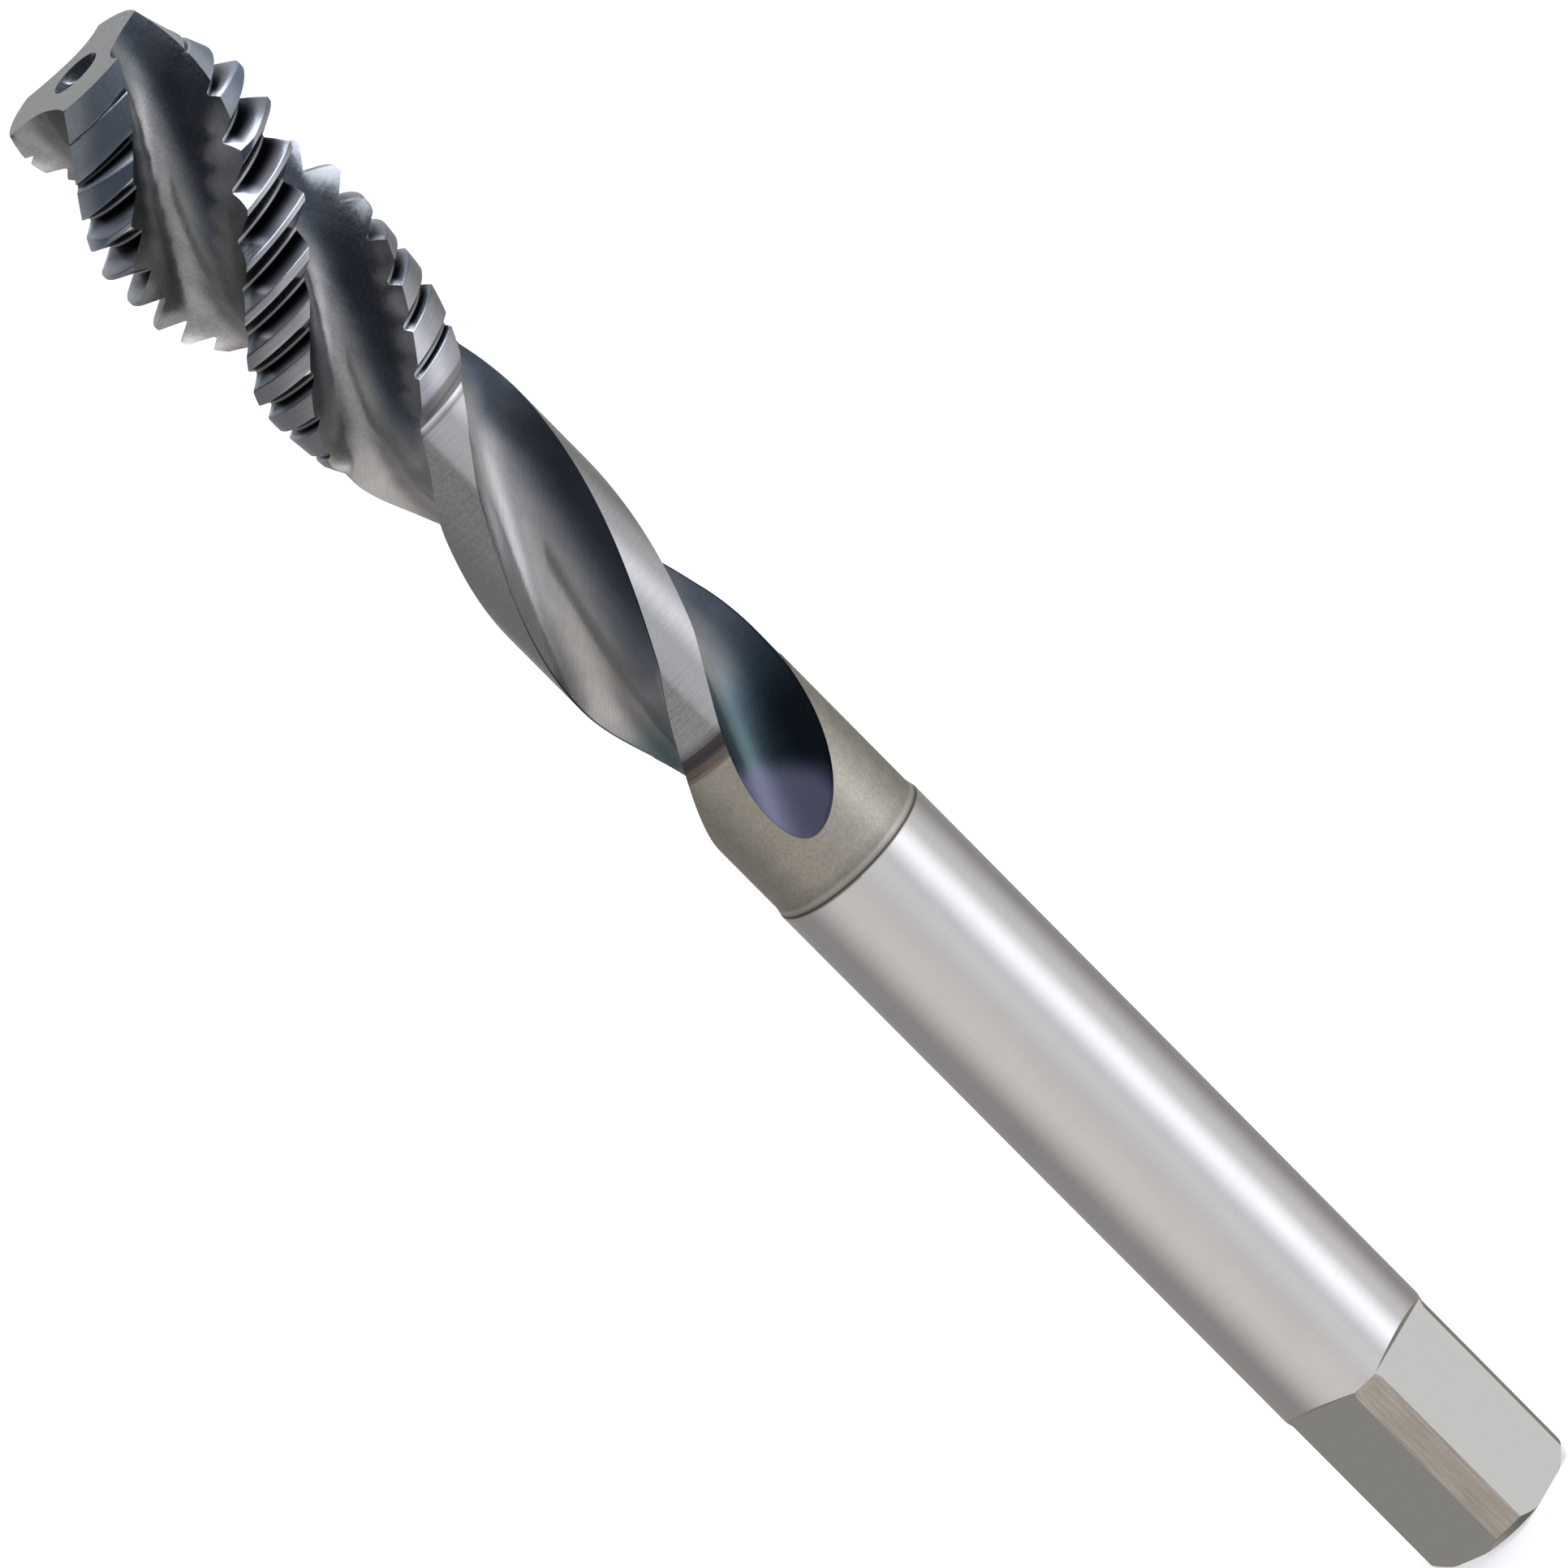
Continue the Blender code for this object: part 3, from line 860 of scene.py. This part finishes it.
def flute_steel(effects):
    """Cloudy along the thread, ribbed along the neck, tinted teal and purple at its end, and darkened with
    painted shade: partly along the thread, across the neck flute's middle, at its cutting face and heel
    edge, and at its end.
    """
    made = Finish("flute_steel", effects)
    depth = made.attribute("depth")
    across = made.attribute("across")
    grain = made.grain(10.0, 10.0)
    cloud = made.grain(1.6, 0.5)
    wheel = made.effect("wheel", depth, across, 18.0)
    neck = made.step(depth, 14.5, 2.5)
    dull_and_painted_shade = made.step(depth, 28.4, 2.6)
    painted_black_shade = made.step(across, -0.05, 0.6) * made.step(depth, 30.5, 1.5)
    purple = made.step(depth - across * 1.5, 32.5, 1.1)
    face = made.step(across, -0.7, -0.12) * made.step(depth, 20.0, 5.0)
    heel = made.step(across, 0.9, 0.06) * made.step(depth, 22.0, 4.0)
    # Partly painted shade: the base along the thread is darker than its steel, standing in for the dark
    # room that the flutes reflect.
    colour = made.mixed((0.22, 0.235, 0.255), (0.43, 0.42, 0.42), grain * 0.45 + cloud * 0.55)
    brighter = made.mixed((0.4, 0.4, 0.415), (0.58, 0.565, 0.565), wheel * 0.6 + cloud * 0.4)
    # Painted shade: the neck flute's bright steel stays bright only near its cutting edge, where its
    # highlight falls, and is darkened across its middle.
    middle = made.step(across, -0.4, 0.5)
    colour = made.mixed(colour, brighter, neck * (1.0 - 0.5 * middle))
    # Teal tint and painted shade: the run-out is darkened to a teal grey, standing in for the dark room it
    # reflects; the same mask makes it rougher.
    colour = made.mixed(colour, (0.1, 0.17, 0.2), dull_and_painted_shade * 0.9)
    # Painted shade: the heel side of the flute's end is made near black.
    colour = made.mixed(colour, (0.05, 0.06, 0.075), painted_black_shade * 0.8)
    colour = made.mixed(colour, (0.4, 0.4, 0.56), purple * 0.9)
    # Painted shade: dark strips along the neck flute's cutting face and heel edge, where their walls stand
    # in shade.
    colour = made.mixed(colour, (0.05, 0.06, 0.065), larger(face, heel) * (0.85 - 0.6 * purple))
    height = wheel * (0.15 + 0.35 * neck) + cloud * 1.6
    rough = 0.17 + 0.06 * grain - 0.04 * neck + 0.13 * dull_and_painted_shade + 0.25 * purple
    return made.done(colour, rough, height, 1.3)


def thread_steel(effects):
    """Painted shade makes it black down in the grooves and a painted highlight pales the flanks near each
    land's heel, with bright ground chamfer crests.
    """
    made = Finish("thread_steel", effects)
    depth = made.attribute("depth")
    from_edge = made.attribute("from_edge")
    reach = maths("ABSOLUTE", made.attribute("reach"))
    grain = made.grain(12.0, 12.0)
    lines = made.grain(0.9, 24.0)
    # Painted shade: the flanks are blackened down into the grooves, less at each land's heel; the root
    # flat is then set back to plain steel, a lighter line.
    heel = made.step(from_edge, 0.8, 0.2)
    painted_shade = made.step(reach, 1.2, 0.55) * (1.0 - 0.8 * heel)
    root = made.step(reach, 2.2, 0.5)
    ground = made.step(depth, 4.6, -0.8) * (1.0 - made.step(reach, 1.1, 0.2))
    colour = made.mixed((0.42, 0.43, 0.47), (0.54, 0.54, 0.59), lines)
    bright = made.mixed((0.5, 0.55, 0.62), (0.97, 0.98, 1.0), made.step(from_edge, 0.5, 0.4))
    colour = made.mixed(colour, bright, ground * (0.75 + 0.25 * grain))
    shoulder = made.step(depth, SIZES["Thread end depth"], 0.1)
    colour = made.mixed(colour, (0.3, 0.3, 0.32), shoulder)
    # Painted shade down the flanks and into the grooves.
    colour = made.mixed(colour, (0.035, 0.04, 0.05), painted_shade)
    # Painted highlight: pale flanks just below the crest near each land's heel.
    flank = made.step(reach, 1.05, 0.1) * (1.0 - made.step(reach, 1.6, 0.3))
    colour = made.mixed(colour, (0.86, 0.89, 0.95), flank * made.step(from_edge, 0.86, 0.1))
    colour = made.mixed(colour, (0.4, 0.37, 0.35), root)
    return made.done(colour, 0.2 + 0.08 * grain + 0.2 * ground, lines, 0.5)


def neck_steel(effects):
    """Ground round the tap, and browned towards the tinted band."""
    made = Finish("neck_steel", effects)
    lines = made.grain(0.7, 20.0)
    grain = made.grain(9.0, 9.0)
    depth = made.attribute("depth")
    warm = made.step(depth, 30.1, 0.5)
    colour = made.mixed((0.48, 0.48, 0.5), (0.64, 0.64, 0.66), lines * 0.6 + grain * 0.4)
    colour = made.mixed(colour, (0.2, 0.175, 0.19), warm * 0.8)
    # A painted highlight line, then a painted shade line, where the thread's shoulder meets the neck.
    colour = made.mixed(colour, (0.9, 0.9, 0.9), made.line(depth, SHOULDER_HIGHLIGHT_DEPTH, 0.07))
    colour = made.mixed(colour, (0.24, 0.19, 0.16), made.line(depth, SHOULDER_SHADE_DEPTH, 0.1) * 0.7)
    return made.done(colour, 0.15 + 0.08 * grain, lines, 0.7)


def tinted_band(effects):
    """A purple band, then a brown one, where the grinding ends."""
    made = Finish("tinted_band", effects)
    depth = made.attribute("depth")
    lines = made.grain(0.7, 30.0)
    brown = made.step(depth, 30.85, 0.2)
    plain = made.step(depth, 31.2, 0.25)
    colour = made.mixed((0.1, 0.085, 0.1), (0.17, 0.145, 0.165), lines)
    striped = made.mixed((0.2, 0.155, 0.13), (0.42, 0.36, 0.31), lines)
    colour = made.mixed(colour, striped, brown)
    colour = made.mixed(colour, (0.5, 0.465, 0.42), plain * 0.6)
    return made.done(colour, 0.32 + 0.08 * lines, lines, 1.5)


def rough_neck(effects):
    """Unground and mottled, with a painted highlight line and a painted shade line at the collar."""
    made = Finish("rough_neck", effects)
    depth = made.attribute("depth")
    mottle = made.grain(2.2, 2.2)
    fine = made.grain(9.0, 9.0)
    lines = made.grain(0.8, 18.0)
    # A painted highlight line on the collar's slope and a painted shade line at its top edge.
    painted_highlight = made.line(depth, COLLAR_DEPTH - 0.23, 0.13)
    painted_shade = made.line(depth, COLLAR_DEPTH - 0.05, 0.08)
    colour = made.mixed((0.46, 0.425, 0.37), (0.7, 0.65, 0.58), mottle * 0.4 + fine * 0.6)
    colour = made.mixed(colour, (0.85, 0.8, 0.72), painted_highlight)
    colour = made.mixed(colour, (0.14, 0.11, 0.08), painted_shade)
    return made.done(colour, 0.33 + 0.12 * mottle, fine * 0.6 + lines * 0.4, 2.5)


def shank_steel(effects):
    """Polished, with faint turning lines."""
    made = Finish("shank_steel", effects)
    lines = made.grain(0.5, 22.0)
    faint = made.grain(1.2, 0.5)
    colour = made.mixed((0.74, 0.73, 0.735), (0.81, 0.8, 0.805), lines * 0.5 + faint * 0.5)
    return made.done(colour, 0.08 + 0.04 * faint, lines, 0.2)


def flat_steel(effects):
    made = Finish("flat_steel", effects)
    grain = made.grain(12.0, 12.0)
    streaks = made.grain(10.0, 1.2)
    colour = made.mixed((0.64, 0.635, 0.615), (0.7, 0.695, 0.675), grain * 0.5 + streaks * 0.5)
    return made.done(colour, 0.24 + 0.04 * grain, grain, 0.12)


def corner_steel(effects):
    made = Finish("corner_steel", effects)
    grain = made.grain(8.0, 8.0)
    streaks = made.grain(14.0, 0.7)
    colour = made.mixed((0.44, 0.38, 0.32), (0.72, 0.66, 0.59), streaks * 0.7 + grain * 0.3)
    return made.done(colour, 0.28 + 0.1 * grain, streaks, 2.0)


def shoulder_steel(effects):
    made = Finish("shoulder_steel", effects)
    grain = made.grain(9.0, 9.0)
    lines = made.grain(2.0, 24.0)
    colour = made.mixed((0.2, 0.185, 0.165), (0.48, 0.45, 0.41), grain * 0.5 + lines * 0.5)
    return made.done(colour, 0.42 + 0.1 * grain, grain, 4.0)


def rear_steel(effects):
    made = Finish("rear_steel", effects)
    grain = made.grain(8.0, 8.0)
    mottle = made.grain(2.5, 2.5)
    # Painted shade: the rear chamfer is darkened, standing in for the floor's contact shadow that it
    # reflects.
    chamfer = 1.0 - made.step(made.attribute("depth"), SIZES["Length"] - 0.03, 0.02)
    colour = made.mixed((0.36, 0.345, 0.32), (0.56, 0.54, 0.51), grain * 0.6 + mottle * 0.4)
    colour = made.mixed(colour, (0.1, 0.085, 0.07), chamfer * 0.85)
    return made.done(colour, 0.4 + 0.1 * grain, grain, 2.0)


def tip_face(effects):
    made = Finish("tip_face", effects)
    grain = made.grain(10.0, 10.0)
    mottle = made.grain(3.0, 3.0)
    colour = made.mixed((0.3, 0.3, 0.3), (0.6, 0.6, 0.595), grain * 0.75 + mottle * 0.25)
    return made.done(colour, 0.3 + 0.08 * grain, grain, 1.5)


def hole_steel(effects):
    made = Finish("hole_steel", effects)
    grain = made.grain(6.0, 6.0)
    lines = made.grain(0.8, 24.0)
    colour = made.mixed((0.3, 0.3, 0.31), (0.5, 0.5, 0.51), lines * 0.6 + grain * 0.4)
    return made.done(colour, 0.16 + 0.1 * grain, lines, 1.5)


def finishes():
    """Every finish, by its name."""
    makers = (flute_steel, thread_steel, neck_steel, tinted_band, rough_neck, shank_steel)
    makers += (flat_steel, corner_steel, shoulder_steel, rear_steel, tip_face, hole_steel)
    effects = effect_groups()
    return {maker.__name__: maker(effects) for maker in makers}


def swept_tap():
    """The tap as one plain mesh, swept from its outline."""
    tap = outline_object()
    sweep = Sweep(finishes())
    modifier = tap.modifiers.new("sweep", "NODES")
    modifier.node_group = sweep.tree
    values = {**SIZES, **COLUMNS}
    for socket in sweep.tree.interface.items_tree:
        if socket.name in values and socket.in_out == "INPUT":
            modifier[socket.identifier] = float(values[socket.name])
    graph = bpy.context.evaluated_depsgraph_get()
    skin = bpy.data.meshes.new_from_object(tap.evaluated_get(graph))
    tap.modifiers.remove(modifier)
    tap.data = skin
    skin.name = "tap"
    skin.shade_smooth()
    skin.set_sharp_from_angle(angle=SHARP_ANGLE)
    return tap


# Floor, light and camera. Angles are given in degrees: round from the camera, or for the camera itself
# from the X axis, and up from level

CAMERA_AZIMUTH = math.radians(-39.5)
CAMERA_ELEVATION = math.radians(16.21)
CAMERA_ROLL = math.radians(-44.812)
CAMERA_DISTANCE = 698.1
CAMERA_OFFSET = (-0.481, 0.561)
CAMERA_LENS = 482.57
SENSOR_WIDTH = 36.0

FLOOR_WIDTH = 6000.0
FLOOR_WHITE = 0.9
# What the floor glows with for the camera alone, to look white
FLOOR_GLOW = 0.62

# The floor as the steel shows it: its level, and the centre, width and gain of its brighter patches
SHOWN_FLOOR = 0.3
FLOOR_PATCHES = ((0, 75, 0.38), (57, 32, 0.78), (85, 55, 0.42), (25, 30, 0.15), (-58, 52, 0.33))
# The floor close round the tap, and how much darker it is on one side
NEAR_FLOOR = 0.75
NEAR_SHADE = 0.45
# A small bright patch behind the tap, which the neck's flute and the thread's heels show
SPOT_GAIN = 3.6
# The room above: its level, and its gain to the right of the camera, low down and behind the tap
ROOM = 0.045
ROOM_RIGHT = 0.13
ROOM_LOW = 0.1
ROOM_BEHIND = 0.45
# Red, green and blue of the floor where it is warm and where it is cool, and of the room
TINTS = ((1.03, 0.99, 0.84), (1.0, 1.0, 1.0), (0.95, 1.03, 1.28))

LAMP_COLOUR = (0.93, 0.98, 1.08)

# The card's distances from the tap, its directions, and what it glows with
CARD_REACHES = (132.0, 260.0)
CARD_TURNS = range(-150, 0, 10)
CARD_HEIGHT = 0.5
CARD_GLOW = 0.22


def floor():
    """A white floor, which the steel doesn't show: it shows the world's floor instead."""
    bpy.ops.mesh.primitive_plane_add(size=FLOOR_WIDTH * MM)
    made = bpy.context.object
    made.name = "floor"
    material, shader = principled("floor_white")
    tree = material.node_tree
    shader.inputs["Base Color"].default_value = (FLOOR_WHITE, FLOOR_WHITE, FLOOR_WHITE, 1)
    shader.inputs["Roughness"].default_value = 1.0
    shader.inputs["Emission Color"].default_value = (1, 1, 1, 1)
    rays = tree.nodes.new("ShaderNodeLightPath")
    glow = Field(tree, rays.outputs["Is Camera Ray"]) * FLOOR_GLOW
    link(tree, glow, shader.inputs["Emission Strength"])
    made.data.materials.append(material)
    made.visible_glossy = False


def world_direction(tree):
    """The azimuth and elevation, in radians, in which the world is looked at."""
    place = tree.nodes.new("ShaderNodeTexCoord")
    apart = tree.nodes.new("ShaderNodeSeparateXYZ")
    tree.links.new(place.outputs["Generated"], apart.inputs[0])
    x, y, z = (Field(tree, apart.outputs[axis]) for axis in "XYZ")
    return maths("ARCTAN2", y, x), maths("ARCSINE", z)


def studio_world():
    """A bright floor below, a dim room above it on the camera's side, and white for the camera's rays."""
    world = bpy.data.worlds.new("studio")
    bpy.context.scene.world = world
    world.use_nodes = True
    tree = world.node_tree
    background = tree.nodes["Background"]
    azimuth, elevation = world_direction(tree)

    def around(centre, width):
        """One in a direction round from the camera, fading out over the width, either way."""
        centre = CAMERA_AZIMUTH + math.radians(centre)
        off = maths("ABSOLUTE", maths("WRAP", azimuth - centre, math.pi, -math.pi))
        return eased(clamped(1.0 - off / math.radians(width)))

    def rise(start, end):
        """From nought to one between two elevations."""
        return eased(clamped((elevation - math.radians(start)) / math.radians(end - start)))

    bright = SHOWN_FLOOR
    for centre, width, gain in FLOOR_PATCHES:
        bright = bright + gain * around(centre, width)
    bright = blend(bright, NEAR_FLOOR - NEAR_SHADE * around(15, 70), 1.0 - rise(-60, -35))
    spot = around(-152, 30) * rise(-76, -62) * (1.0 - rise(-62, -47))
    bright = bright + SPOT_GAIN * spot
    behind = around(180, 60)
    dim = ROOM + ROOM_RIGHT * around(95, 80) + ROOM_LOW * (1.0 - rise(0, 24)) + ROOM_BEHIND * behind
    room = rise(-22, 14)
    cool = around(45, 90)
    rays = tree.nodes.new("ShaderNodeLightPath")
    seen = Field(tree, rays.outputs["Is Camera Ray"])
    colour = tree.nodes.new("ShaderNodeCombineColor")
    for (warm_tint, cool_tint, room_tint), socket in zip(TINTS, colour.inputs):
        level = bright * blend(warm_tint, cool_tint, cool)
        level = blend(level, dim * blend(room_tint, 1.0, behind), room)
        link(tree, blend(level, 1.0, seen), socket)
    tree.links.new(colour.outputs[0], background.inputs["Color"])
    background.inputs["Strength"].default_value = 1.0


def towards(azimuth, elevation):
    """The unit vector in a direction, whose angles are in radians."""
    level = math.cos(elevation)
    return Vector((level * math.cos(azimuth), level * math.sin(azimuth), math.sin(elevation)))


def lamp(name, azimuth, elevation, distance, size, power):
    """A square lamp turned to the middle of the tap."""
    data = bpy.data.lights.new(name, "AREA")
    data.energy = power
    data.color = LAMP_COLOUR
    data.size = size * MM
    made = bpy.data.objects.new(name, data)
    bpy.context.collection.objects.link(made)
    out = towards(CAMERA_AZIMUTH + math.radians(azimuth), math.radians(elevation))
    target = Vector((0, 0, SIZES["Length"] / 2)) * MM
    made.location = target + out * distance * MM
    made.rotation_euler = out.to_track_quat("Z", "Y").to_euler()


def card():
    """A dark card flat on the floor, to the left of the camera, which only the steel shows."""
    points = []
    for turn in CARD_TURNS:
        out = towards(CAMERA_AZIMUTH + math.radians(turn), 0.0)
        points += [(reach * out.x * MM, reach * out.y * MM, CARD_HEIGHT * MM) for reach in CARD_REACHES]
    faces = [(at, at + 1, at + 3, at + 2) for at in range(0, len(points) - 2, 2)]
    mesh = bpy.data.meshes.new("card")
    mesh.from_pydata(points, [], faces)
    made = bpy.data.objects.new("card", mesh)
    bpy.context.collection.objects.link(made)
    material, shader = principled("card_grey")
    shader.inputs["Base Color"].default_value = (0, 0, 0, 1)
    shader.inputs["Emission Color"].default_value = (1.0, 0.99, 0.98, 1)
    shader.inputs["Emission Strength"].default_value = CARD_GLOW
    mesh.materials.append(material)
    made.visible_camera = False
    made.visible_diffuse = False
    made.visible_shadow = False


def camera():
    """A long lens that looks at the middle of the tap, from above its tip, and leans over."""
    data = bpy.data.cameras.new("camera")
    data.lens = CAMERA_LENS
    data.sensor_width = SENSOR_WIDTH
    data.clip_start = 0.01
    data.clip_end = 20.0
    made = bpy.data.objects.new("camera", data)
    bpy.context.collection.objects.link(made)
    back = towards(CAMERA_AZIMUTH, CAMERA_ELEVATION)
    level = Vector((-math.sin(CAMERA_AZIMUTH), math.cos(CAMERA_AZIMUTH), 0))
    upright = back.cross(level)
    right = math.cos(CAMERA_ROLL) * level + math.sin(CAMERA_ROLL) * upright
    up = math.cos(CAMERA_ROLL) * upright - math.sin(CAMERA_ROLL) * level
    middle = Vector((0, 0, SIZES["Length"] / 2))
    place = middle + CAMERA_DISTANCE * back + CAMERA_OFFSET[0] * right + CAMERA_OFFSET[1] * up
    columns = (right, up, back, place * MM)
    rows = [[column[axis] for column in columns] for axis in range(3)]
    made.matrix_world = Matrix((*rows, (0, 0, 0, 1)))
    bpy.context.scene.camera = made


tap = swept_tap()
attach(tap, "root")
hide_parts("tap_body")
floor()
studio_world()
lamp("overhead", azimuth=114, elevation=71, distance=530, size=480, power=2.0)
card()
camera()
bpy.context.scene.view_settings.view_transform = "Standard"
